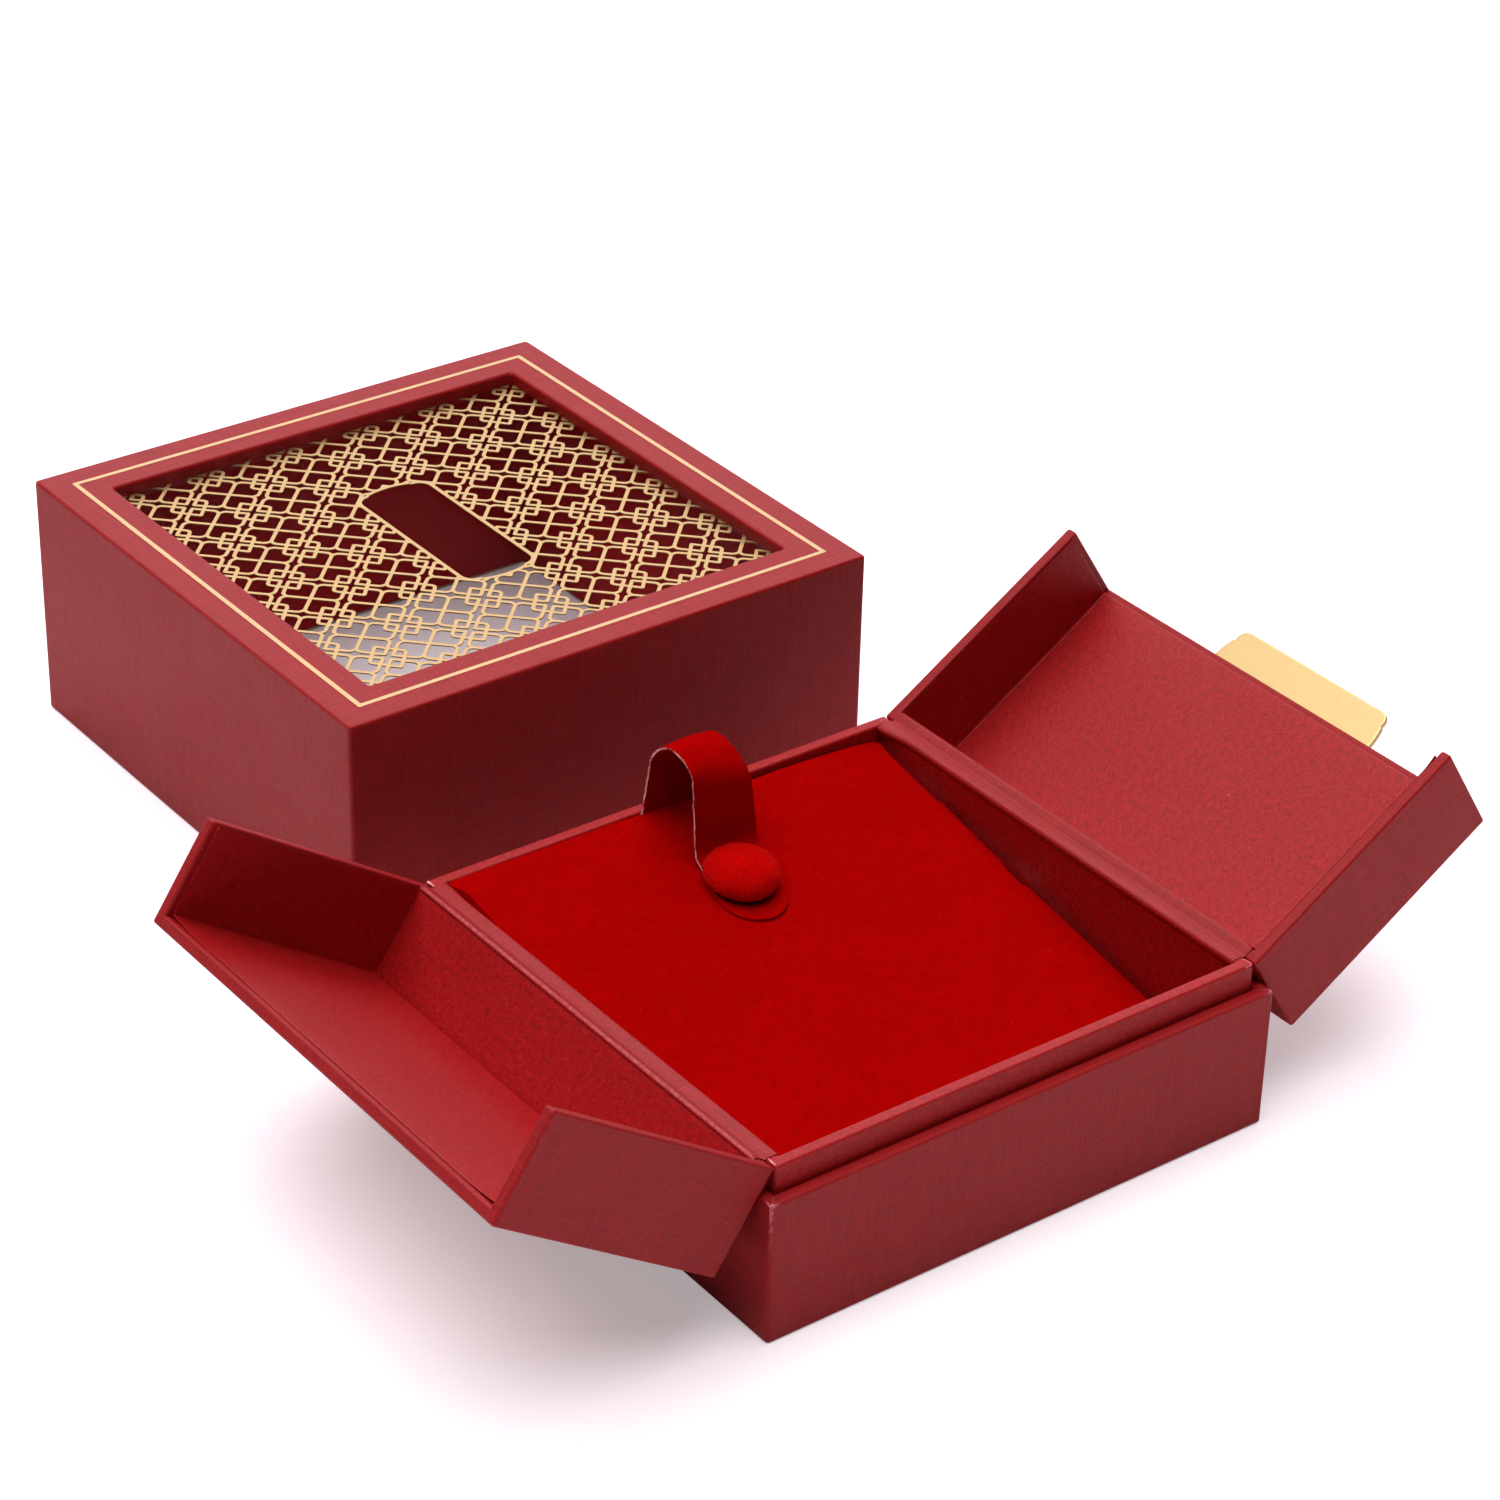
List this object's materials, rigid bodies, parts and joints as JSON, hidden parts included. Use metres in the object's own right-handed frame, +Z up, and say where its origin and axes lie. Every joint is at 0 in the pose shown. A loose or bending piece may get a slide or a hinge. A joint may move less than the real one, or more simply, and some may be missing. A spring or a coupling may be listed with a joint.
{
  "type": "jewelry gift box",
  "caption": "Square rigid gift box: wrapped base shell with raised tray, door flaps that fold out to the sides, sloping velvet pad with snap strap, and a lift-off cover with a latticed window.",
  "frame": {"origin": "centre of the base underside, on the table", "axes": "+X to the right door, +Y to the back, where the cover stands, +Z up"},
  "size_m": [0.2016, 0.2284, 0.0563],
  "materials": {
    "greyboard": "matt grey-brown board core",
    "red_paper": "fine textured burgundy red paper",
    "dark_red_paper": "plain deep red lining paper",
    "velvet": "short pile bright red velvet",
    "foam": "thin open foam sheet",
    "nickel": "nickel plated",
    "gold_plate": "satin pale gold",
    "gold_foil": "hot-stamped pale gold foil",
    "clear_film": "clear flexible film",
    "adhesive": "dried glue or tape"
  },
  "bodies": {
    "base": {"base_bottom_sheet": "red_paper", "shell_floor_board": "greyboard", "shell_wall_front": "greyboard", "shell_wall_back": "greyboard", "shell_wall_left": "greyboard", "shell_wall_right": "greyboard", "shell_wrap": "red_paper", "tray_floor_board": "greyboard", "tray_wall_front": "greyboard", "tray_wall_back": "greyboard", "tray_wall_left": "greyboard", "tray_wall_right": "greyboard", "tray_wrap": "red_paper", "hinge_strip_left_tray": "red_paper", "hinge_strip_right_tray": "red_paper", "pad_riser_back": "greyboard", "pad_riser_front": "greyboard", "pad_board": "greyboard", "pad_foam": "foam", "pad_velvet": "velvet", "snap_socket": "nickel", "strap_back": "velvet", "strap_anchor": "adhesive"},
    "left_door": {"left_panel_board": "greyboard", "left_hinge_wall": "greyboard", "left_end_front": "greyboard", "left_end_back": "greyboard", "left_wrap": "red_paper", "left_liner": "red_paper", "hinge_strip_left_door": "red_paper", "left_magnets": "nickel"},
    "right_door": {"right_panel_board": "greyboard", "right_hinge_wall": "greyboard", "right_end_front": "greyboard", "right_end_back": "greyboard", "right_wrap": "red_paper", "right_liner": "red_paper", "hinge_strip_right_door": "red_paper", "plaque": "gold_plate", "plaque_adhesive": "adhesive"},
    "strap_end": {"strap_front": "velvet", "button_cap": "velvet", "snap_stud": "nickel"},
    "cover": {"cover_top_frame": "greyboard", "cover_wall_front": "greyboard", "cover_wall_back": "greyboard", "cover_wall_left": "greyboard", "cover_wall_right": "greyboard", "cover_wrap": "red_paper", "cover_liner": "dark_red_paper", "film_frame": "dark_red_paper", "window_film": "clear_film", "lattice_sheet": "gold_foil", "gold_border": "gold_foil"}
  },
  "joints": [
    {"name": "left_door_hinge", "type": "hinge", "parent": "base", "child": "left_door", "pos_m": [-0.0474, 0, 0.0302], "axis": [0, -1, 0], "range_deg": [-146, 0]},
    {"name": "right_door_hinge", "type": "hinge", "parent": "base", "child": "right_door", "pos_m": [0.0474, 0, 0.0302], "axis": [0, 1, 0], "range_deg": [-147.6, 0]},
    {"name": "strap_bend", "type": "hinge", "parent": "base", "child": "strap_end", "pos_m": [0.0006, 0.038, 0.0459], "axis": [-1, 0, 0], "range_deg": [0, 25]},
    {"name": "cover_lift", "type": "slide", "parent": "base", "child": "cover", "axis": [0, 0, 1], "range_m": [0, 0.06]}
  ]
}
